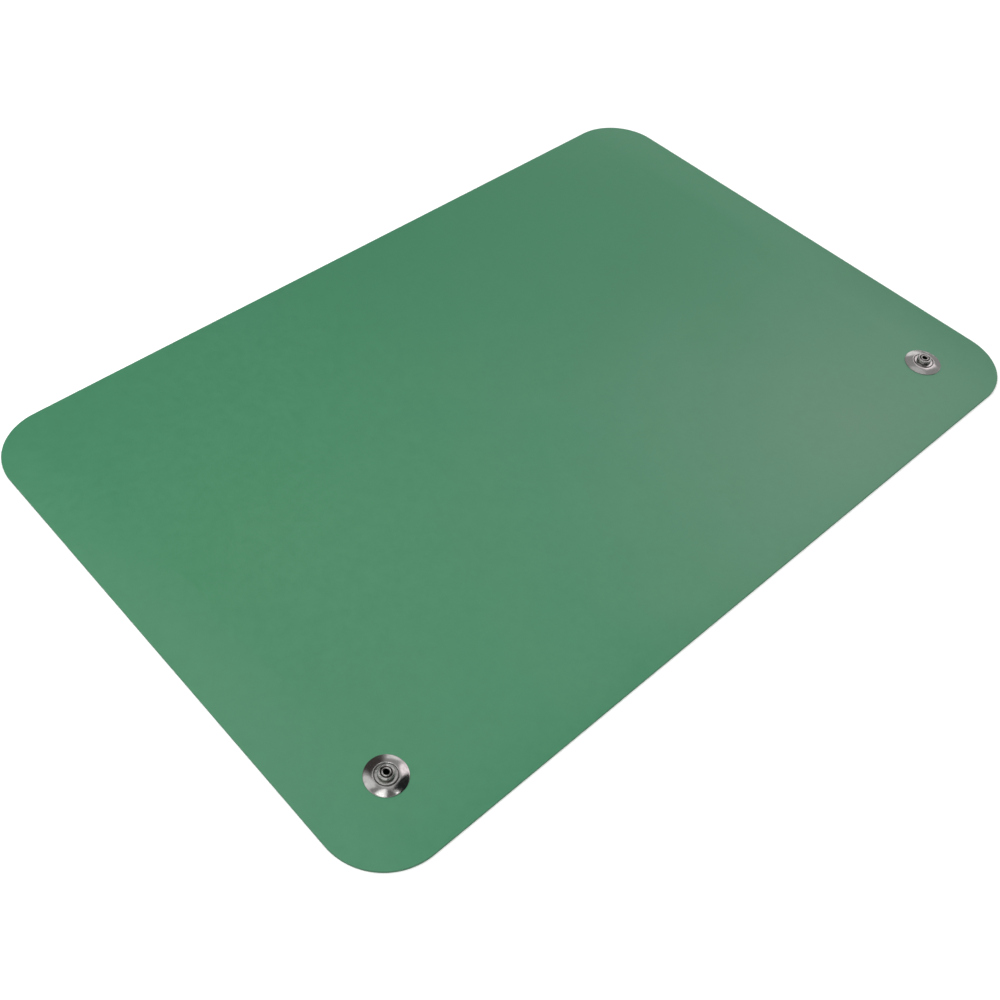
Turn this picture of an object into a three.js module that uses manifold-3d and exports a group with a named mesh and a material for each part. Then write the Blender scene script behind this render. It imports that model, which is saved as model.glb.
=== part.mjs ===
// Anti-static bench mat: one sheet of dissipative rubber with rounded corners. Near each end of its
// front side a male snap stud for an earthing lead stands on a dished contact washer, and a tubular
// rivet clamps both to the sheet.
// Millimetres, +Z up. The origin is the middle of the underside, where the mat lies on the bench.
// X runs along the long side and Y along the short side, with the studs along the front, at -Y.

import * as THREE from 'three';
import { mergeVertices } from 'three/addons/utils/BufferGeometryUtils.js';
import Module from 'manifold-3d';

const wasm = await Module();
wasm.setup();

// The rubber sheet
const matLength = 600;
const matWidth = 400;
const matThickness = 2;
const cornerRadius = 40;
const edgeBreak = 0.2; // small chamfer that the cutting die leaves along both edges

// Where the studs stand, measured to their axes
const studFromEnd = 49;
const studFromFront = 49.5;

// The snap stud: a stamped shell with a flange, a neck, and a head that folds over into a dish
const studSheet = 0.4;
const studHeight = 3.45;
const headRadius = 4.85;
const neckUndercut = 0.5; // how far the head stands out over the neck, for a socket to grip
const neckFillet = 0.5;
const flangeWidth = 2.05; // from the neck to the flange's rim
const foldHollow = 0.3; // between the neck's wall and the dish's wall, inside the fold
const dishWall = 0.1; // straight part of the dish's wall, below the fold

// The contact washer: a flat seat in the middle, a raised crest round it, and a dished skirt
const washerRadius = 12.75;
const washerSheet = 0.5;
const seatHeight = 1.6; // top of the seat above the sheet
const stepWidth = 0.85; // from the edge of the seat to the crest
const crestRise = 0.4; // of the crest above the seat
const skirtBend = 1.3; // 1 is a straight cone, and more bends the skirt down towards its rim

// The rivet: a round head under the sheet and a tubular post, rolled outwards over the dish's floor
const rivetWall = 0.35;
const rollOverhang = 0.65; // of the rolled bead beyond the post
const rivetHeadRadius = 6;
const rivetHeadThickness = 0.6;
const rivetHeadSetback = 0.2; // how far the head lies above the bench, so that the rubber carries

// Clearances
const beadInDish = 0.45;
const postInMetal = 0.1;
const postInRubber = 0.15;
const headInRecess = 0.2;
const flangeToStep = 0.25;

// How finely the round parts are faceted
const turnSegments = 32;
const cornerSegments = 16;

// Radii that follow from the sizes above, from the stud's head inwards and outwards
const neckRadius = headRadius - neckUndercut;
const dishRadius = neckRadius - 2 * studSheet - foldHollow;
const beadRadius = dishRadius - beadInDish;
const postRadius = beadRadius - rollOverhang;
const boreRadius = postRadius - rivetWall;
const metalHoleRadius = postRadius + postInMetal;
const flangeRadius = neckRadius + flangeWidth;
const seatRadius = flangeRadius + flangeToStep;
const crestRadius = seatRadius + stepWidth;
const foldRound = (headRadius - dishRadius) / 2;
const beadRound = (beadRadius - boreRadius) / 2;

// Heights that follow from the sizes above, counted from the bench
const matTop = matThickness;
const recessDepth = rivetHeadSetback + rivetHeadThickness;
const seatTop = matTop + seatHeight;
const flangeTop = seatTop + studSheet;
const foldCentreHeight = seatTop + studHeight - foldRound;
const dishFloor = foldCentreHeight - dishWall;

const greenRubber = new THREE.MeshStandardMaterial({ color: 0x528a6a, roughness: 0.55, metalness: 0 });
const nickelPlate = new THREE.MeshStandardMaterial({ color: 0xc9c5c1, roughness: 0.2, metalness: 1 });

// Points of a circular arc in the half-plane of radius and height, between two angles in degrees.
function arc(centreRadius, centreHeight, radius, fromDegrees, toDegrees, steps) {
  const points = [];
  for (let i = 0; i <= steps; i++) {
    const angle = THREE.MathUtils.degToRad(fromDegrees + ((toDegrees - fromDegrees) * i) / steps);
    points.push([centreRadius + radius * Math.cos(angle), centreHeight + radius * Math.sin(angle)]);
  }
  return points;
}

// A solid of revolution about Z. The profile runs anticlockwise, seen with radius to the right.
function turned(profile) {
  const points = profile.map(([radius, height]) => new THREE.Vector2(radius, height));
  return new THREE.LatheGeometry(points, turnSegments).rotateX(Math.PI / 2);
}

// A ring's profile comes back to its first point.
function turnedRing(profile) {
  return turned([...profile, profile[0]]);
}

function toManifold(geometry) {
  const bare = geometry.clone();
  bare.deleteAttribute('normal');
  bare.deleteAttribute('uv');
  const merged = mergeVertices(bare, 1e-4);
  return new wasm.Manifold(
    new wasm.Mesh({
      numProp: 3,
      vertProperties: merged.attributes.position.array,
      triVerts: new Uint32Array(merged.index.array),
    }),
  );
}

function toGeometry(solid) {
  const mesh = solid.getMesh();
  return new THREE.BufferGeometry()
    .setAttribute('position', new THREE.BufferAttribute(mesh.vertProperties, 3))
    .setIndex(new THREE.BufferAttribute(mesh.triVerts, 1));
}

function namedMesh(name, geometry, material) {
  if (!geometry.attributes.normal) {
    geometry.computeVertexNormals();
  }
  const mesh = new THREE.Mesh(geometry, material);
  mesh.name = name;
  return mesh;
}

// The sheet's outline, a rectangle with round corners, centred on the origin.
function matOutline() {
  const x = matLength / 2 - cornerRadius;
  const y = matWidth / 2 - cornerRadius;
  const quarter = Math.PI / 2;
  const outline = new THREE.Shape();
  outline.absarc(x, y, cornerRadius, 0, quarter);
  outline.absarc(-x, y, cornerRadius, quarter, 2 * quarter);
  outline.absarc(-x, -y, cornerRadius, 2 * quarter, 3 * quarter);
  outline.absarc(x, -y, cornerRadius, 3 * quarter, 4 * quarter);
  return outline;
}

// What a rivet takes out of the sheet: the post's hole, and a recess for its head in the underside.
function rivetHole(x, y) {
  const beyond = 1; // how far the cutter runs past both faces
  const recessRadius = rivetHeadRadius + headInRecess;
  const holeRadius = postRadius + postInRubber;
  return turned([
    [0, -beyond],
    [recessRadius, -beyond],
    [recessRadius, recessDepth],
    [holeRadius, recessDepth],
    [holeRadius, matTop + beyond],
    [0, matTop + beyond],
  ]).translate(x, y, 0);
}

function rubberMat(studAxes) {
  const sheet = new THREE.ExtrudeGeometry(matOutline(), {
    depth: matThickness - 2 * edgeBreak,
    curveSegments: cornerSegments,
    bevelThickness: edgeBreak,
    bevelSize: edgeBreak,
    bevelOffset: -edgeBreak,
    bevelSegments: 1,
  }).translate(0, 0, edgeBreak);
  let solid = toManifold(sheet);
  for (const [x, y] of studAxes) {
    solid = solid.subtract(toManifold(rivetHole(x, y)));
  }
  return namedMesh('rubber_mat', toGeometry(solid), greenRubber);
}

// Height of the washer's upper side over its skirt, from the crest out to the rim.
function skirtTop(radius) {
  const crestTop = seatTop + crestRise;
  const rimTop = matTop + washerSheet;
  const share = (radius - crestRadius) / (washerRadius - washerSheet / 2 - crestRadius);
  return crestTop - (crestTop - rimTop) * share ** skirtBend;
}

function contactWasher() {
  const skirtSteps = 5;
  const rimRound = washerSheet / 2;
  const rimCentre = washerRadius - rimRound;
  const top = [
    [metalHoleRadius, seatTop],
    [seatRadius, seatTop],
    [(seatRadius + crestRadius) / 2, seatTop + crestRise * 0.8],
  ];
  for (let i = 0; i < skirtSteps; i++) {
    const radius = crestRadius + ((rimCentre - crestRadius) * i) / skirtSteps;
    top.push([radius, skirtTop(radius)]);
  }
  const underside = top.map(([radius, height]) => [radius, height - washerSheet]);
  const rim = arc(rimCentre, matTop + rimRound, rimRound, -90, 90, 4);
  return turnedRing([...underside, ...rim, ...top.reverse()]);
}

function snapStud() {
  const rimRound = studSheet / 2;
  const foldCentre = headRadius - foldRound;
  const foldInside = foldRound - studSheet;
  const neckInside = neckRadius - studSheet;
  const neckTop = foldCentreHeight - foldRound * 0.8;
  return turnedRing([
    [metalHoleRadius, dishFloor - studSheet],
    [dishRadius + studSheet, dishFloor - studSheet],
    ...arc(foldCentre, foldCentreHeight, foldInside, 180, -35, 7),
    [neckInside, neckTop],
    [neckInside, seatTop],
    ...arc(flangeRadius - rimRound, seatTop + rimRound, rimRound, -90, 90, 3),
    ...arc(neckRadius + neckFillet, flangeTop + neckFillet, neckFillet, -90, -180, 3),
    [neckRadius, neckTop],
    ...arc(foldCentre, foldCentreHeight, foldRound, -35, 180, 10),
    [dishRadius, dishFloor],
    [metalHoleRadius, dishFloor],
  ]);
}

function rivet() {
  const headRound = rivetHeadThickness / 2;
  return turned([
    [0, rivetHeadSetback],
    ...arc(rivetHeadRadius - headRound, rivetHeadSetback + headRound, headRound, -90, 0, 3),
    [rivetHeadRadius, recessDepth],
    [postRadius, recessDepth],
    [postRadius, dishFloor],
    ...arc(beadRadius - beadRound, dishFloor + beadRound, beadRound, -90, 180, 9),
    [boreRadius, recessDepth],
    [0, recessDepth],
  ]);
}

// One stud with what holds it, on its own axis.
function studSet(side, x, y) {
  const set = new THREE.Group();
  set.position.set(x, y, 0);
  set.add(namedMesh(`${side}_contact_washer`, contactWasher(), nickelPlate));
  set.add(namedMesh(`${side}_snap_stud`, snapStud(), nickelPlate));
  set.add(namedMesh(`${side}_rivet`, rivet(), nickelPlate));
  return set;
}

const studX = matLength / 2 - studFromEnd;
const studY = studFromFront - matWidth / 2;

const benchMat = new THREE.Group();
benchMat.add(rubberMat([[-studX, studY], [studX, studY]]));
benchMat.add(studSet('left', -studX, studY));
benchMat.add(studSet('right', studX, studY));

export default benchMat;
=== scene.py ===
"""Looks of an anti-static bench mat: a green rubber sheet with a snap stud near each front corner.

Everything is in metres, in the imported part's frame: X along the long side, the studs at -Y, Z up.
"""

import logging
import math
from dataclasses import dataclass, field
from enum import Enum
from typing import Iterable

import bmesh
import bpy
from mathutils import Matrix, Quaternion, Vector


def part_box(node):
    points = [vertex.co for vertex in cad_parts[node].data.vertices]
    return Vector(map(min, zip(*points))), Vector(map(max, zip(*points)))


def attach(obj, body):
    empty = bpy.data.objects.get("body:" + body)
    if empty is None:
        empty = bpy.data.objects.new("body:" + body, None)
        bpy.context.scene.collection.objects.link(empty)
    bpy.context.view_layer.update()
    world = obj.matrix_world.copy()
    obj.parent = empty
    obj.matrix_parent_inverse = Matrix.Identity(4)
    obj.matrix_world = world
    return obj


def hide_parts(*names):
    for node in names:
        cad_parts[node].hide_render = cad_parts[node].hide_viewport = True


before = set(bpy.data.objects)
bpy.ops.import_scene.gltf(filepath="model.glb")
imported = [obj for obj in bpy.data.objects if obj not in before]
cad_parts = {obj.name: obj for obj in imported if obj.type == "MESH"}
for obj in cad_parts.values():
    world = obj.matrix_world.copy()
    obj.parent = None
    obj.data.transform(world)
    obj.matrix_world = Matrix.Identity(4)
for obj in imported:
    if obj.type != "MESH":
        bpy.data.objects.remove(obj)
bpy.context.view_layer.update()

MM = 0.001
ON_AXIS = 1e-9  # a smaller radius counts as on the axis
METAL_CREASE = 32.0  # degrees: an edge that bends more than this stays sharp
RUBBER_CREASE = 50.0
NUMBER_INPUTS, NUMBER_OUTPUT = (2, 3), 0  # the Mix node's sockets for numbers
COLOUR_INPUTS, COLOUR_OUTPUT = (6, 7), 2  # the Mix node's sockets for colours
log = logging.getLogger("bench_mat")

Colour = tuple[float, float, float, float]
Tint = tuple[float, float, float]
Point = tuple[float, float, float]
Span = tuple[float, float]
Profile = list[tuple[float, float]]
Socket = bpy.types.NodeSocket


class Side(Enum):
    """Which end of the mat a stud stands at, as in the names of its nodes."""

    LEFT = "left"
    RIGHT = "right"


@dataclass(frozen=True)
class Pattern:
    """A soft random pattern: its size in metres, and the count and strength of finer layers."""

    size: float
    detail: float = 2.0
    roughness: float = 0.5


class Graph:
    """A material's node tree, with short calls that add and join its nodes."""

    def __init__(self, name: str) -> None:
        """Make a material that has only its output.

        Args:
            name: the material's name.
        """
        self.material = bpy.data.materials.new(name)
        self.material.use_nodes = True
        self.tree = self.material.node_tree
        self.tree.nodes.clear()
        self.output = self.tree.nodes.new("ShaderNodeOutputMaterial")

    def feed(self, socket: Socket, value: object) -> None:
        """Join a socket to an input, or set the input's own value.

        Args:
            socket: the input.
            value: the socket to join, or the value.
        """
        if isinstance(value, Socket):
            self.tree.links.new(value, socket)
        else:
            socket.default_value = value

    def add(self, kind: str, **inputs: object) -> bpy.types.Node:
        """Add a node.

        Args:
            kind: the node's type, without the word ShaderNode in front.
            inputs: values or sockets for its inputs, with underscores for spaces in their names.

        Returns:
            The new node.
        """
        node = self.tree.nodes.new("ShaderNode" + kind)
        for name, value in inputs.items():
            self.feed(node.inputs[name.replace("_", " ")], value)
        return node

    def calculate(self, operation: str, first: object, second: object = 0.0) -> Socket:
        """Work out one number from two.

        Args:
            operation: the Math node's operation, such as MULTIPLY.
            first: a number or socket.
            second: a number or socket.

        Returns:
            The socket with the result.
        """
        node = self.add("Math")
        node.operation = operation
        self.feed(node.inputs[0], first)
        self.feed(node.inputs[1], second)
        return node.outputs[0]

    def distance(self, place: object, point: Point) -> Socket:
        """Measure how far a place is from a point.

        Args:
            place: the socket with the place.
            point: the point.

        Returns:
            The socket with the distance.
        """
        node = self.add("VectorMath")
        node.operation = "DISTANCE"
        self.feed(node.inputs[0], place)
        self.feed(node.inputs[1], point)
        return node.outputs["Value"]

    def span(self, value: object, low: float, high: float, start: float, end: float) -> Socket:
        """Map a number from one span onto another, and hold it there.

        Args:
            value: a number or socket.
            low: the value that becomes start.
            high: the value that becomes end.
            start: the result at low.
            end: the result at high.

        Returns:
            The socket with the result.
        """
        limits = {"From_Min": low, "From_Max": high, "To_Min": start, "To_Max": end}
        return self.add("MapRange", Value=value, **limits).outputs["Result"]

    def noise(self, where: object, pattern: Pattern) -> Socket:
        """Add a soft random pattern.

        Args:
            where: the socket with the place to look up.
            pattern: the pattern's size and layers.

        Returns:
            The socket with the pattern, from 0 to 1.
        """
        node = self.add("TexNoise", Vector=where, Scale=1 / pattern.size)
        self.feed(node.inputs["Detail"], pattern.detail)
        self.feed(node.inputs["Roughness"], pattern.roughness)
        return node.outputs["Fac"]

    def mix(self, share: object, first: object, second: object) -> Socket:
        """Mix two numbers or two colours.

        Args:
            share: how much of the second, a number or socket.
            first: a number, colour or socket.
            second: a number, colour or socket.

        Returns:
            The socket with the mixture.
        """
        number = isinstance(second, float)
        node = self.add("Mix")
        node.data_type = "FLOAT" if number else "RGBA"
        inputs = NUMBER_INPUTS if number else COLOUR_INPUTS
        self.feed(node.inputs[0], share)
        self.feed(node.inputs[inputs[0]], first)
        self.feed(node.inputs[inputs[1]], second)
        return node.outputs[NUMBER_OUTPUT if number else COLOUR_OUTPUT]

    def shade(self, colour: object, amount: object) -> Socket:
        """Lighten or darken a colour.

        Args:
            colour: a colour or socket.
            amount: what to multiply it by, a number or socket.

        Returns:
            The socket with the shaded colour.
        """
        node = self.add("VectorMath")
        node.operation = "SCALE"
        self.feed(node.inputs[0], colour)
        self.feed(node.inputs["Scale"], amount)
        return node.outputs[0]

    def bump(self, height: object, depth: float, under: object | None = None) -> Socket:
        """Turn a height into a normal.

        Args:
            height: the socket with the height, from 0 to 1.
            depth: what a height of 1 stands for, in metres.
            under: the normal of a coarser relief that this one lies on.

        Returns:
            The socket with the normal.
        """
        node = self.add("Bump", Height=height, Distance=depth)
        if under is not None:
            self.feed(node.inputs["Normal"], under)
        return node.outputs["Normal"]

    def finish(self, **inputs: object) -> bpy.types.Material:
        """Add the surface shader and join it to the output.

        Args:
            inputs: values or sockets for the shader's inputs, with underscores for spaces.

        Returns:
            The finished material.
        """
        shader = self.add("BsdfPrincipled", **inputs)
        self.feed(self.output.inputs["Surface"], shader.outputs[0])
        return self.material


@dataclass(frozen=True)
class PaintedPatch:
    """A soft patch of another shade painted into the rubber's colour in place of light falling on
    it, full at its place and gone at its reach.
    """

    colour: Colour
    place: Point
    reach: float


@dataclass(frozen=True)
class RubberFinish:
    """Satin green rubber with a faint grain, a matt edge where the die cut it, and three broad
    patches of painted sheen, light and shade.
    """

    slot: str = "green_rubber"
    green: Colour = (0.034, 0.166, 0.082, 1.0)
    teal: Colour = (0.037, 0.17, 0.09, 1.0)
    cut: Colour = (0.03, 0.13, 0.065, 1.0)
    # Painted sheen: a greyer tone at the right front stands in for the rubber's sheen there.
    painted_sheen: PaintedPatch = PaintedPatch((0.076, 0.181, 0.113, 1.0), (0.16, -0.15, 0.0), 0.3)
    # Painted light: a paler pool at the left stands in for more light falling there.
    pale: PaintedPatch = PaintedPatch((0.047, 0.18, 0.09, 1.0), (-0.2, 0.03, 0.0), 0.3)
    # Painted shade: a deeper green at the right back stands in for less light and sheen there.
    deep: PaintedPatch = PaintedPatch((0.026, 0.157, 0.073, 1.0), (0.2, 0.17, 0.0), 0.26)
    clouds: Pattern = Pattern(0.16)
    wander: Pattern = Pattern(0.08)
    mottling: Pattern = Pattern(0.005, 3.0, 0.6)
    grain: Pattern = Pattern(0.0006, 3.0, 0.6)
    cut_marks: Pattern = Pattern(0.0015, 3.0, 0.7)
    cloud_contrast: Span = (0.35, 0.65)
    wander_contrast: Span = (0.3, 0.7)
    wander_reach: Span = (0.8, 1.2)
    mottle_contrast: Span = (0.25, 0.75)
    gloss_contrast: Span = (0.3, 0.7)
    mottle: float = 0.04
    grain_depth: float = 0.00001
    cut_mark_depth: float = 0.00004
    cut_mark_draw: float = 0.15
    cut_facing: Span = (0.4, 0.8)
    gloss: Span = (0.34, 0.42)
    cut_roughness: float = 0.8
    refraction: float = 1.56

    def material(self) -> bpy.types.Material:
        """Build the node material.

        Returns:
            The rubber's material.
        """
        graph = Graph(self.slot)
        place = graph.add("TexCoord").outputs["Object"]
        normal = graph.add("NewGeometry").outputs["Normal"]
        facing = graph.add("SeparateXYZ", Vector=normal).outputs["Z"]
        edge = graph.span(graph.calculate("ABSOLUTE", facing), *self.cut_facing, 1.0, 0.0)
        clouds = graph.span(graph.noise(place, self.clouds), *self.cloud_contrast, 0.0, 1.0)
        mottle = graph.noise(place, self.mottling)
        wander = graph.noise(place, self.wander)
        uneven = graph.span(wander, *self.wander_contrast, *self.wander_reach)
        face = graph.mix(clouds, self.green, self.teal)
        # Paints the patches of sheen, light and shade into the rubber's colour.
        for patch in (self.painted_sheen, self.pale, self.deep):
            away = graph.calculate("MULTIPLY", graph.distance(place, patch.place), uneven)
            face = graph.mix(graph.span(away, 0.0, patch.reach, 1.0, 0.0), face, patch.colour)
        tone = graph.span(mottle, *self.mottle_contrast, 1 - self.mottle, 1 + self.mottle)
        gloss = graph.span(mottle, *self.gloss_contrast, *self.gloss)
        grain = graph.bump(graph.noise(place, self.grain), self.grain_depth)
        drawn = graph.add("Mapping", Vector=place, Scale=(1.0, 1.0, self.cut_mark_draw)).outputs[0]
        marks = graph.calculate("MULTIPLY", graph.noise(drawn, self.cut_marks), edge)
        return graph.finish(
            Base_Color=graph.mix(edge, graph.shade(face, tone), self.cut),
            Roughness=graph.mix(edge, gloss, self.cut_roughness),
            Normal=graph.bump(marks, self.cut_mark_depth, grain),
            IOR=self.refraction,
        )


@dataclass(frozen=True)
class Crease:
    """A place in a turned piece's section that is painted dark as shade with some dirt: full as far
    as near, and gone at far.
    """

    radius: float
    height: float
    near: float
    far: float


@dataclass(frozen=True)
class NickelFinish:
    """Bright nickel plate: turning marks, stamping waves, some dulling, and creases painted near
    black as shade with some dirt.
    """

    slot: str = "nickel_plate"
    bright: Colour = (0.68, 0.665, 0.65, 1.0)
    dull: Colour = (0.45, 0.43, 0.42, 1.0)
    # Painted shade: near black, with some dirt, in the creases between parts and inside the bore.
    dirt_and_shade: Colour = (0.035, 0.033, 0.03, 1.0)
    rings: Pattern = Pattern(0.00009, 2.0, 0.6)
    waves: Pattern = Pattern(0.0011, 1.0)
    stamping: Pattern = Pattern(0.001, 1.0)
    dulling: Pattern = Pattern(0.00242, 4.0, 0.65)
    ring_depth: float = 0.0000012
    wave_depth: float = 0.00001
    stamping_depth: float = 0.00008
    stamping_reach: Span = (0.0072, 0.00792)
    dulling_contrast: Span = (0.45, 0.75)
    dulled: float = 0.5
    gloss: Span = (0.12, 0.24)
    dirt_and_shade_roughness: float = 0.6

    def material(self, creases: Iterable[Crease]) -> bpy.types.Material:
        """Build the node material, for a piece that was turned about its own Z axis.

        Args:
            creases: where the plate is painted dark, as shade with some dirt.

        Returns:
            The plate's material.
        """
        graph = Graph(self.slot)
        place = graph.add("TexCoord").outputs["Object"]
        parts = graph.add("SeparateXYZ", Vector=place)
        flat = graph.add("CombineXYZ", X=parts.outputs["X"], Y=parts.outputs["Y"])
        radius = graph.distance(flat.outputs[0], (0.0, 0.0, 0.0))
        section = graph.add("CombineXYZ", X=radius, Y=parts.outputs["Z"]).outputs[0]
        inner = graph.span(radius, *self.stamping_reach, 1.0, 0.0)
        stamping = graph.calculate("MULTIPLY", graph.noise(place, self.stamping), inner)
        dulling = graph.span(graph.noise(place, self.dulling), *self.dulling_contrast, 0.0, 1.0)
        # Painted shade: the creases' mask, for shade with some dirt.
        dirt_and_shade = 0.0
        for crease in creases:
            away = graph.distance(section, (crease.radius, crease.height, 0.0))
            here = graph.span(away, crease.near, crease.far, 1.0, 0.0)
            dirt_and_shade = graph.calculate("MAXIMUM", here, dirt_and_shade)
        dulled = graph.calculate("MULTIPLY", dulling, self.dulled)
        plate = graph.mix(dulled, self.bright, self.dull)
        gloss = graph.span(dulling, 0.0, 1.0, *self.gloss)
        waves = graph.bump(graph.noise(place, self.waves), self.wave_depth)
        rings = graph.bump(graph.noise(section, self.rings), self.ring_depth, waves)
        return graph.finish(
            Base_Color=graph.mix(dirt_and_shade, plate, self.dirt_and_shade),
            Metallic=1.0,
            Roughness=graph.mix(dirt_and_shade, gloss, self.dirt_and_shade_roughness),
            Normal=graph.bump(stamping, self.stamping_depth, rings),
        )


def arc(radius: float, height: float, bend: float, start: float, end: float, steps: int) -> Profile:
    """Points of a circular arc in a turned piece's section.

    Args:
        radius: how far the arc's centre is from the axis.
        height: how high the arc's centre is.
        bend: the arc's own radius.
        start: the first point's angle in degrees, 0 being outwards and 90 up.
        end: the last point's angle in degrees.
        steps: how many chords the arc has.

    Returns:
        The points, as radius and height.
    """
    angles = [math.radians(start + (end - start) * i / steps) for i in range(steps + 1)]
    return [(radius + bend * math.cos(a), height + bend * math.sin(a)) for a in angles]


def tidy(mesh: bpy.types.Mesh, crease_degrees: float) -> None:
    """Smooth a mesh's shading, apart from its creases.

    Args:
        mesh: the mesh.
        crease_degrees: edges that bend more than this stay sharp.
    """
    mesh.shade_smooth()
    mesh.set_sharp_from_angle(angle=math.radians(crease_degrees))


def settle(name: str, mesh: bmesh.types.BMesh) -> bpy.types.Mesh:
    """Turn an edited mesh into named mesh data, and free it."""
    data = bpy.data.meshes.new(name)
    mesh.to_mesh(data)
    mesh.free()
    return data


def stand(name: str, data: bpy.types.ID) -> bpy.types.Object:
    """Put an object with this data in the scene."""
    thing = bpy.data.objects.new(name, data)
    bpy.context.scene.collection.objects.link(thing)
    return thing


def sight(place: Point, aim: Point) -> Quaternion:
    """Find the turn that points a lamp or camera from its place to its aim."""
    return (Vector(aim) - Vector(place)).to_track_quat("-Z", "Y")


def turned(name: str, profile: Profile, segments: int = 96) -> bpy.types.Object:
    """Make a turned piece about its own Z axis.

    Args:
        name: the piece's name.
        profile: its section, anticlockwise with the axis on the left. One that starts and ends on
            the axis makes a solid piece, and any other closes on itself as a ring.
        segments: how many facets go round.

    Returns:
        The piece, with its own axis at the origin.
    """
    mesh = bmesh.new()
    rows = []
    for radius, height in profile:
        count = 1 if radius < ON_AXIS else segments
        turns = [2 * math.pi * i / segments for i in range(count)]
        points = [(radius * math.sin(t), -radius * math.cos(t), height) for t in turns]
        rows.append([mesh.verts.new(point) for point in points])
    solid = len(rows[0]) == 1
    pairs = list(zip(rows, rows[1:])) + ([] if solid else [(rows[-1], rows[0])])
    for lower, upper in pairs:
        for i in range(segments):
            j = (i + 1) % segments
            ends = ((lower, i), (lower, j), (upper, j), (upper, i))
            corners = [row[k % len(row)] for row, k in ends]
            mesh.faces.new(list(dict.fromkeys(corners)))
    bmesh.ops.recalc_face_normals(mesh, faces=mesh.faces)
    data = settle(name, mesh)
    tidy(data, METAL_CREASE)
    return stand(name, data)


def dress(piece: bpy.types.Object, material: bpy.types.Material, node: str) -> None:
    """Give a piece its finish, and let it stand for its node on the part's one body.

    Args:
        piece: the visible piece.
        material: its finish.
        node: the node that it stands for.
    """
    piece.data.materials.clear()
    piece.data.materials.append(material)
    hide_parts(node)
    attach(piece, "root")
    log.info("%s: %d faces, finish %s", piece.name, len(piece.data.polygons), material.name)


@dataclass
class Rivet:
    """The tubular rivet: a round head under the sheet, a post, and its end rolled into a bead."""

    wall: float = 0.35 * MM
    overhang: float = 0.65 * MM
    head_radius: float = 6.0 * MM
    head_thickness: float = 0.6 * MM
    setback: float = 0.2 * MM
    rim_steps: int = 8
    bead_steps: int = 27

    @property
    def recess(self) -> float:
        """How deep the sheet's recess for the head is."""
        return self.setback + self.head_thickness

    def profile(self, bead_radius: float, floor: float) -> Profile:
        """Section of the rivet.

        Args:
            bead_radius: the outer radius of the rolled bead.
            floor: the height of the dish's floor, which the bead lies on.

        Returns:
            The section's points.
        """
        post = bead_radius - self.overhang
        bore = post - self.wall
        bead = (bead_radius - bore) / 2
        rim = self.head_thickness / 2
        return [
            (0.0, self.setback),
            *arc(self.head_radius - rim, self.setback + rim, rim, -90, 0, self.rim_steps),
            (self.head_radius, self.recess),
            (post, self.recess),
            (post, floor),
            *arc(bead_radius - bead, floor + bead, bead, -90, 180, self.bead_steps),
            (bore, self.recess),
            (0.0, self.recess),
        ]


@dataclass
class SnapStud:
    """The stamped male stud: a flange, a neck, and a head that folds over into a dish.

    The fold runs on under the head by the tuck, in degrees. The neck ends below the fold's middle,
    by a share of the fold's radius.
    """

    sheet: float = 0.4 * MM
    height: float = 3.45 * MM
    head_radius: float = 4.85 * MM
    undercut: float = 0.5 * MM
    fillet: float = 0.5 * MM
    flange_width: float = 2.05 * MM
    fold_hollow: float = 0.3 * MM
    dish_wall: float = 0.1 * MM
    tuck: float = 35.0
    neck_end: float = 0.8
    inner_steps: int = 14
    rim_steps: int = 10
    fillet_steps: int = 8
    fold_steps: int = 30

    @property
    def neck_radius(self) -> float:
        """Radius of the neck, which the socket grips."""
        return self.head_radius - self.undercut

    @property
    def dish_radius(self) -> float:
        """Radius of the dish in the head's top."""
        return self.neck_radius - 2 * self.sheet - self.fold_hollow

    @property
    def flange_radius(self) -> float:
        """Radius of the flange's rim."""
        return self.neck_radius + self.flange_width

    @property
    def fold(self) -> float:
        """Outer radius of the fold at the head's top."""
        return (self.head_radius - self.dish_radius) / 2

    def floor(self, seat: float) -> float:
        """Height of the dish's floor, for a stud on a seat of a given height."""
        return seat + self.height - self.fold - self.dish_wall

    def profile(self, seat: float, hole: float) -> Profile:
        """Section of the stud.

        Args:
            seat: the height that its flange lies on.
            hole: the radius of the hole for the rivet's post.

        Returns:
            The section's points.
        """
        floor = self.floor(seat)
        centre = self.head_radius - self.fold
        middle = floor + self.dish_wall
        neck_top = middle - self.fold * self.neck_end
        inner_neck = self.neck_radius - self.sheet
        rim = self.sheet / 2
        root = self.neck_radius + self.fillet
        top = seat + self.sheet
        return [
            (hole, floor - self.sheet),
            (self.dish_radius + self.sheet, floor - self.sheet),
            *arc(centre, middle, self.fold - self.sheet, 180, -self.tuck, self.inner_steps),
            (inner_neck, neck_top),
            (inner_neck, seat),
            *arc(self.flange_radius - rim, seat + rim, rim, -90, 90, self.rim_steps),
            *arc(root, top + self.fillet, self.fillet, -90, -180, self.fillet_steps),
            (self.neck_radius, neck_top),
            *arc(centre, middle, self.fold, -self.tuck, 180, self.fold_steps),
            (self.dish_radius, floor),
            (hole, floor),
        ]


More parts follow.
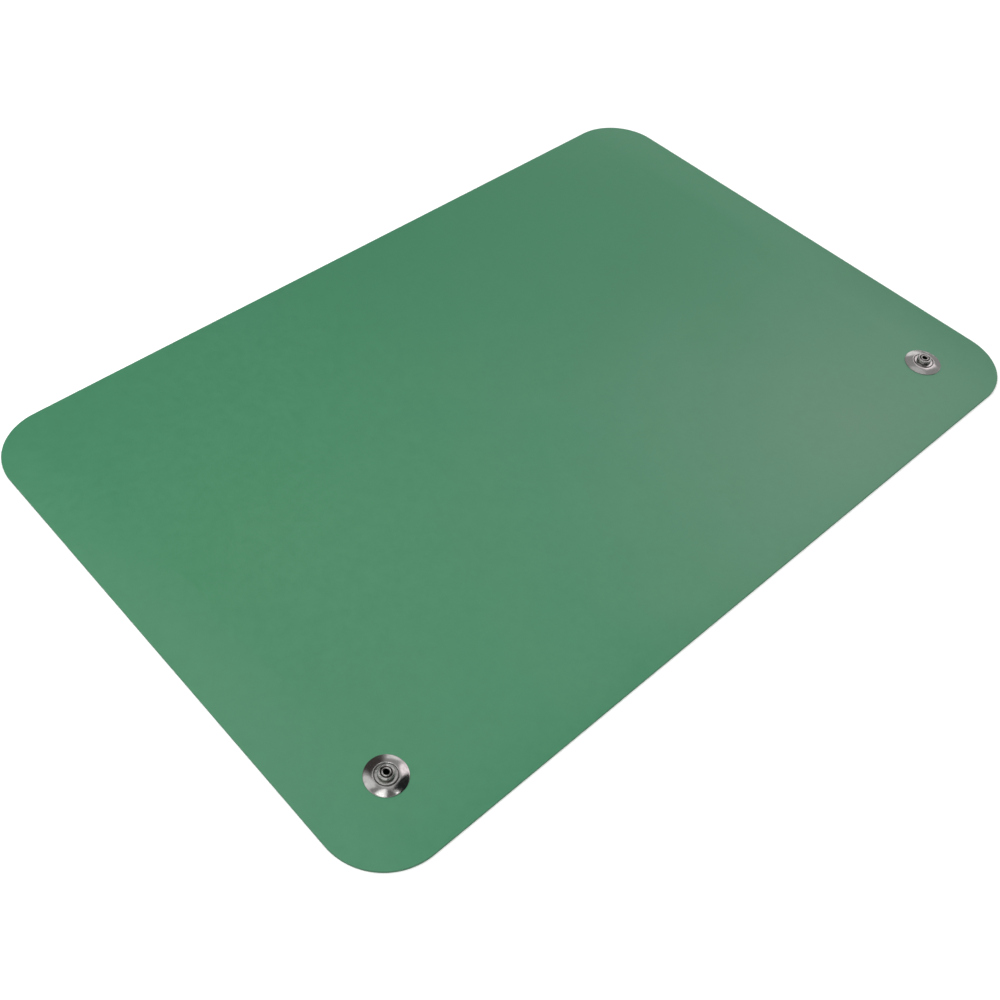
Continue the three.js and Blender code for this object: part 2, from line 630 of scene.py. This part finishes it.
@dataclass
class ContactWasher:
    """The domed washer: a flat seat, a crest round it, and a skirt that dips to the sheet.

    The two bends are the powers by which the skirt falls and the step rises.
    """

    radius: float = 12.75 * MM
    sheet: float = 0.5 * MM
    seat_height: float = 1.6 * MM
    step_width: float = 0.85 * MM
    crest_rise: float = 0.4 * MM
    bend: float = 1.3
    step_bend: float = 2.3
    step_steps: int = 6
    skirt_steps: int = 14
    rim_steps: int = 10

    def top(self, radius: float, seat_radius: float, ground: float) -> float:
        """Height of the washer's upper side.

        Args:
            radius: distance from the axis.
            seat_radius: where the flat seat ends.
            ground: height of the sheet under the washer.

        Returns:
            The height at that distance.
        """
        seat = ground + self.seat_height
        crest = seat_radius + self.step_width
        if radius <= seat_radius:
            return seat
        if radius <= crest:
            share = min(1.0, (radius - seat_radius) / self.step_width)
            return seat + self.crest_rise * (1 - (1 - share) ** self.step_bend)
        share = min(1.0, (radius - crest) / (self.radius - self.sheet / 2 - crest))
        drop = self.seat_height + self.crest_rise - self.sheet
        return seat + self.crest_rise - drop * share**self.bend

    def profile(self, seat_radius: float, hole: float, ground: float) -> Profile:
        """Section of the washer.

        Args:
            seat_radius: where the flat seat ends.
            hole: the radius of the hole for the rivet's post.
            ground: height of the sheet under the washer.

        Returns:
            The section's points.
        """
        crest = seat_radius + self.step_width
        rim = self.sheet / 2
        last = self.radius - rim
        radii = [hole, seat_radius]
        steps = self.step_steps
        radii += [seat_radius + self.step_width * i / steps for i in range(1, steps)]
        steps = self.skirt_steps
        radii += [crest + (last - crest) * i / steps for i in range(steps)]
        upper = [(r, self.top(r, seat_radius, ground)) for r in radii]
        under = [(r, h - self.sheet) for r, h in upper]
        return under + arc(last, ground + rim, rim, -90, 90, self.rim_steps) + upper[::-1]


@dataclass
class StudSet:
    """One stud with the washer under it and the rivet through both, on the stud's own axis.

    Each dirt-and-shade span says how far from its crease the plate is painted fully dark, as shade
    with some dirt, and where it is clean.
    """

    side: Side
    ground: float
    washer: ContactWasher = field(default_factory=ContactWasher)
    stud: SnapStud = field(default_factory=SnapStud)
    rivet: Rivet = field(default_factory=Rivet)
    bead_gap: float = 0.45 * MM
    post_gap: float = 0.1 * MM
    step_gap: float = 0.25 * MM
    dish_dirt_and_shade: Span = (0.25 * MM, 0.6 * MM)
    foot_dirt_and_shade: Span = (0.1 * MM, 0.8 * MM)
    seat_dirt_and_shade: Span = (0.0, 0.4 * MM)
    bore_fade: float = 0.25 * MM

    def axis(self) -> Vector:
        """Where the stud's axis meets the bench, from the washer's node."""
        low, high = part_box(f"{self.side.value}_contact_washer")
        return Vector(((low.x + high.x) / 2, (low.y + high.y) / 2, 0.0))

    def build(self, nickel: NickelFinish) -> None:
        """Build and dress the three pieces.

        Args:
            nickel: the finish that all three share.
        """
        seat = self.ground + self.washer.seat_height
        floor = self.stud.floor(seat)
        bead = self.stud.dish_radius - self.bead_gap
        post = bead - self.rivet.overhang
        hole = post + self.post_gap
        seat_radius = self.stud.flange_radius + self.step_gap
        sections = {
            "contact_washer": self.washer.profile(seat_radius, hole, self.ground),
            "snap_stud": self.stud.profile(seat, hole),
            "rivet": self.rivet.profile(bead, floor),
        }
        # Painted shade with some dirt: where the bead meets the dish, at the neck's foot, inside
        # the bore, and in the groove round the flange.
        dish = Crease((bead + self.stud.dish_radius) / 2, floor, *self.dish_dirt_and_shade)
        foot = Crease(self.stud.neck_radius, seat + self.stud.sheet, *self.foot_dirt_and_shade)
        rise = (floor - self.rivet.recess) / 2
        corner = math.hypot(rise, post - self.rivet.wall)
        bore = Crease(0.0, self.rivet.recess + rise, corner, corner + self.bore_fade)
        creases = {
            "contact_washer": [Crease(seat_radius, seat, *self.seat_dirt_and_shade)],
            "snap_stud": [dish, foot],
            "rivet": [dish, bore],
        }
        for kind, section in sections.items():
            node = f"{self.side.value}_{kind}"
            piece = turned(f"{node}_plated", section)
            piece.location = self.axis()
            dress(piece, nickel.material(creases[kind]), node)


@dataclass
class RubberSheet:
    """The green sheet, with softly broken edges and a stepped hole for each rivet."""

    corner_radius: float = 40 * MM
    edge_break: float = 0.2 * MM
    corner_steps: int = 32
    edge_steps: int = 3
    hole_radius: float = 2.3 * MM
    recess_radius: float = 6.2 * MM
    recess_depth: float = 0.8 * MM
    overshoot: float = 1 * MM

    def outline(self, inset: float) -> list[tuple[float, float]]:
        """Points of the sheet's outline, anticlockwise from the back of the right end.

        Args:
            inset: how far the outline is drawn in.

        Returns:
            The points, as X and Y.
        """
        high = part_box("rubber_mat")[1]
        x = high.x - self.corner_radius
        y = high.y - self.corner_radius
        radius = self.corner_radius - inset
        points = []
        for turn, (cx, cy) in enumerate(((x, y), (-x, y), (-x, -y), (x, -y))):
            for i in range(self.corner_steps + 1):
                angle = math.pi / 2 * (turn + i / self.corner_steps)
                points.append((cx + radius * math.cos(angle), cy + radius * math.sin(angle)))
        return points

    def blank(self, top: float) -> bpy.types.Object:
        """Make the sheet before its holes are punched.

        Args:
            top: the sheet's thickness.

        Returns:
            The closed sheet.
        """
        mesh = bmesh.new()
        quarter = [math.pi / 2 * i / self.edge_steps for i in range(self.edge_steps + 1)]
        edge = self.edge_break
        low = [(edge * (1 - math.sin(a)), edge * (1 - math.cos(a))) for a in quarter]
        high = [(inset, top - height) for inset, height in reversed(low)]
        rings = []
        for inset, height in low + high:
            rings.append([mesh.verts.new((x, y, height)) for x, y in self.outline(inset)])
        for lower, upper in zip(rings, rings[1:]):
            for i in range(len(lower)):
                j = (i + 1) % len(lower)
                mesh.faces.new((lower[i], lower[j], upper[j], upper[i]))
        mesh.faces.new(rings[-1])
        mesh.faces.new(rings[0][::-1])
        return stand("rubber_sheet", settle("rubber_sheet", mesh))

    def punch(self, piece: bpy.types.Object, axis: Vector, top: float) -> None:
        """Take one rivet's stepped hole out of the sheet.

        Args:
            piece: the sheet.
            axis: the hole's axis.
            top: the sheet's thickness.
        """
        below = -self.overshoot
        above = top + self.overshoot
        section = [
            (0.0, below),
            (self.recess_radius, below),
            (self.recess_radius, self.recess_depth),
            (self.hole_radius, self.recess_depth),
            (self.hole_radius, above),
            (0.0, above),
        ]
        punch = turned("punch", section)
        punch.location = axis
        cut = piece.modifiers.new("hole", "BOOLEAN")
        cut.object = punch
        cut.solver = "EXACT"
        bpy.context.view_layer.update()
        seen = piece.evaluated_get(bpy.context.evaluated_depsgraph_get())
        data = bpy.data.meshes.new_from_object(seen)
        piece.modifiers.clear()
        piece.data = data
        bpy.data.objects.remove(punch)

    def build(self, rubber: RubberFinish, axes: Iterable[Vector]) -> None:
        """Build and dress the sheet.

        Args:
            rubber: its finish.
            axes: the axes of the studs.
        """
        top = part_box("rubber_mat")[1].z
        piece = self.blank(top)
        for axis in axes:
            self.punch(piece, axis, top)
        tidy(piece.data, RUBBER_CREASE)
        dress(piece, rubber.material(), "rubber_mat")


@dataclass(frozen=True)
class Card:
    """A bowed card that shows only in glossy surfaces: bright as a reflector, dark as a flag."""

    name: str
    azimuth: tuple[float, float]
    elevation: tuple[float, float]
    glow: float
    feather: float = 0.2
    reach: float = 1.2
    tint: Tint = (1.0, 1.0, 1.0)
    step: float = 2.0

    def place(self, azimuth: float, elevation: float) -> Vector:
        """A point of the card, seen from what it is hung round.

        Args:
            azimuth: degrees from +X towards +Y.
            elevation: degrees above the bench.

        Returns:
            The point, as far away as the card's reach.
        """
        a = math.radians(azimuth)
        e = math.radians(elevation)
        level = math.cos(e)
        return self.reach * Vector((math.cos(a) * level, math.sin(a) * level, math.sin(e)))

    def cover(self, across: float, up: float) -> float:
        """How solid the card is at a point, since it fades out towards its edges.

        Args:
            across: how far the point is across the card, from 0 to 1.
            up: how far the point is up the card, from 0 to 1.

        Returns:
            From 0 at its edge to 1 in its middle.
        """
        share = min(1.0, min(across, 1 - across, up, 1 - up) / self.feather)
        return share * share * (3 - 2 * share)

    def material(self) -> bpy.types.Material:
        """Build the card's material, which glows and fades out.

        Returns:
            The material.
        """
        graph = Graph(self.name)
        cover = graph.add("Attribute")
        cover.attribute_name = "cover"
        glow = graph.add("Emission", Color=(*self.tint, 1.0), Strength=self.glow)
        clear = graph.add("BsdfTransparent")
        card = graph.add("MixShader", Fac=cover.outputs["Fac"])
        graph.feed(card.inputs[1], clear.outputs[0])
        graph.feed(card.inputs[2], glow.outputs[0])
        graph.feed(graph.output.inputs["Surface"], card.outputs[0])
        return graph.material

    def hang(self, centre: Vector) -> None:
        """Hang the card in the studio.

        Args:
            centre: what the card is hung round.
        """
        mesh = bmesh.new()
        cover = mesh.verts.layers.float.new("cover")
        columns = max(2, round((self.azimuth[1] - self.azimuth[0]) / self.step))
        rows = max(2, round((self.elevation[1] - self.elevation[0]) / self.step))
        grid = []
        for i in range(rows + 1):
            e = self.elevation[0] + (self.elevation[1] - self.elevation[0]) * i / rows
            row = []
            for j in range(columns + 1):
                a = self.azimuth[0] + (self.azimuth[1] - self.azimuth[0]) * j / columns
                point = mesh.verts.new(centre + self.place(a, e))
                point[cover] = self.cover(j / columns, i / rows)
                row.append(point)
            grid.append(row)
        for below, above in zip(grid, grid[1:]):
            for j in range(columns):
                mesh.faces.new((below[j], below[j + 1], above[j + 1], above[j]))
        data = settle(self.name, mesh)
        data.materials.append(self.material())
        card = stand(self.name, data)
        card.visible_camera = False
        card.visible_diffuse = False
        card.visible_shadow = False
        card.visible_transmission = False
        card.visible_volume_scatter = False


@dataclass(frozen=True)
class Softbox:
    """A rectangular light that is aimed at a point of the mat."""

    name: str
    place: Point
    aim: Point
    size: tuple[float, float]
    watts: float

    def hang(self) -> None:
        """Hang the light in the studio."""
        data = bpy.data.lights.new(self.name, "AREA")
        data.shape = "RECTANGLE"
        data.size, data.size_y = self.size
        data.energy = self.watts
        lamp = stand(self.name, data)
        lamp.location = self.place
        lamp.rotation_mode = "QUATERNION"
        lamp.rotation_quaternion = sight(self.place, self.aim)
        lamp.visible_camera = False
        lamp.visible_glossy = False


@dataclass(frozen=True)
class Canopy:
    """A broad soft light from overhead that reaches the whole floor evenly."""

    strength: float = 2.45
    spread: float = 110.0

    def hang(self) -> None:
        """Hang the light in the studio."""
        data = bpy.data.lights.new("canopy", "SUN")
        data.energy = self.strength
        data.angle = math.radians(self.spread)
        lamp = stand("canopy", data)
        lamp.visible_camera = False
        lamp.visible_glossy = False


@dataclass
class Studio:
    """The plain floor, the lights, the cards and the camera."""

    sky: Colour = (0.3, 0.3, 0.3, 1.0)
    backdrop: Colour = (1.0, 1.0, 1.0, 1.0)
    floor_colour: Colour = (0.95, 0.95, 0.95, 1.0)
    floor_roughness: float = 0.9
    floor_gleam: float = 0.1
    floor_size: float = 30.0
    floor_drop: float = 0.00005
    camera_place: Point = (-0.451448, -0.382302, 0.6043)
    camera_aim: Point = (-0.094857, -0.031597, 0.002)
    camera_roll: float = 4.6276
    sensor: float = 36.0
    lens: float = 44.4
    shift: float = 0.045
    canopy: Canopy = field(default_factory=Canopy)
    softboxes: tuple[Softbox, ...] = (
        Softbox("left_softbox", (-1.5, -0.2, 1.5), (-0.2, 0.0, 0.0), (1.6, 1.6), 12.0),
        Softbox("pool_light", (-0.27, 0.07, 0.45), (-0.27, 0.07, 0.0), (0.3, 0.3), 0.5),
    )
    cards: tuple[Card, ...] = (
        Card("flag_behind", (48, 100), (12, 60), 0.05, 0.22, tint=(1.0, 0.88, 0.85)),
        Card("flag_right", (-62, 4), (32, 78), 0.015, 0.12, 0.5, (0.8, 1.0, 1.0)),
        Card("card_behind_right", (-10, 28), (24, 58), 1.15, 0.25, 3.0, (1.0, 0.92, 0.96)),
        Card("card_low", (20, 52), (5, 30), 0.9, 0.2, 6.0),
        Card("card_overhead", (-40, 110), (58, 89), 0.52, 0.15, 3.0),
        Card("card_left", (96, 160), (34, 74), 0.72, 0.15),
        Card("bar_left", (120, 140), (44, 58), 1.0, 0.3, 1.1),
        Card("flag_left", (136, 162), (56, 78), 0.2, 0.3, 1.1),
        Card("card_above", (164, 234), (60, 90), 1.6, 0.12),
        Card("flag_above", (238, 290), (60, 86), 0.12, 0.15),
        Card("spot_above", (290, 308), (60, 71), 2.2, 0.3),
        Card("card_front", (170, 238), (4, 40), 0.8, 0.2),
        Card("flag_front", (240, 330), (-4, 42), 0.02, 0.15),
    )

    def lay_floor(self) -> None:
        """Lay the pale floor just under the mat."""
        mesh = bmesh.new()
        half = self.floor_size / 2
        corners = [(-half, -half), (half, -half), (half, half), (-half, half)]
        mesh.faces.new([mesh.verts.new((x, y, -self.floor_drop)) for x, y in corners])
        data = settle("studio_floor", mesh)
        floor = stand("studio_floor", data)
        finish = Graph("pale_floor").finish(
            Base_Color=self.floor_colour,
            Roughness=self.floor_roughness,
            Specular_IOR_Level=self.floor_gleam,
        )
        data.materials.append(finish)

    def light(self, centre: Vector) -> None:
        """Light the room.

        Args:
            centre: the stud that the cards stand round.
        """
        world = bpy.data.worlds.new("studio")
        world.use_nodes = True
        nodes = world.node_tree.nodes
        seen = nodes.new("ShaderNodeMix")
        seen.data_type = "RGBA"
        for index, colour in zip(COLOUR_INPUTS, (self.sky, self.backdrop)):
            seen.inputs[index].default_value = colour
        ray = nodes.new("ShaderNodeLightPath").outputs["Is Camera Ray"]
        world.node_tree.links.new(ray, seen.inputs[0])
        world.node_tree.links.new(seen.outputs[COLOUR_OUTPUT], nodes["Background"].inputs["Color"])
        bpy.context.scene.world = world
        self.canopy.hang()
        for softbox in self.softboxes:
            softbox.hang()
        for card in self.cards:
            card.hang(centre)

    def place_camera(self) -> None:
        """Put the camera where the photograph was taken from."""
        data = bpy.data.cameras.new("camera")
        data.sensor_width = self.sensor
        data.lens = self.lens
        data.shift_x = self.shift
        camera = stand("camera", data)
        roll = Matrix.Rotation(math.radians(self.camera_roll), 4, "Z")
        turn = sight(self.camera_place, self.camera_aim).to_matrix().to_4x4() @ roll
        camera.matrix_world = Matrix.Translation(self.camera_place) @ turn
        bpy.context.scene.camera = camera

    def build(self, centre: Vector) -> None:
        """Set up the whole studio.

        Args:
            centre: the stud that the cards stand round.
        """
        self.lay_floor()
        self.light(centre)
        self.place_camera()
        bpy.context.scene.view_settings.view_transform = "Standard"


def main() -> None:
    """Build every piece, then the studio."""
    logging.basicConfig(level=logging.INFO, format="%(name)s: %(message)s")
    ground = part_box("rubber_mat")[1].z
    studs = [StudSet(side, ground) for side in Side]
    RubberSheet().build(RubberFinish(), [stud.axis() for stud in studs])
    for stud in studs:
        stud.build(NickelFinish())
    Studio().build(studs[0].axis())


if __name__ == "__main__":
    main()
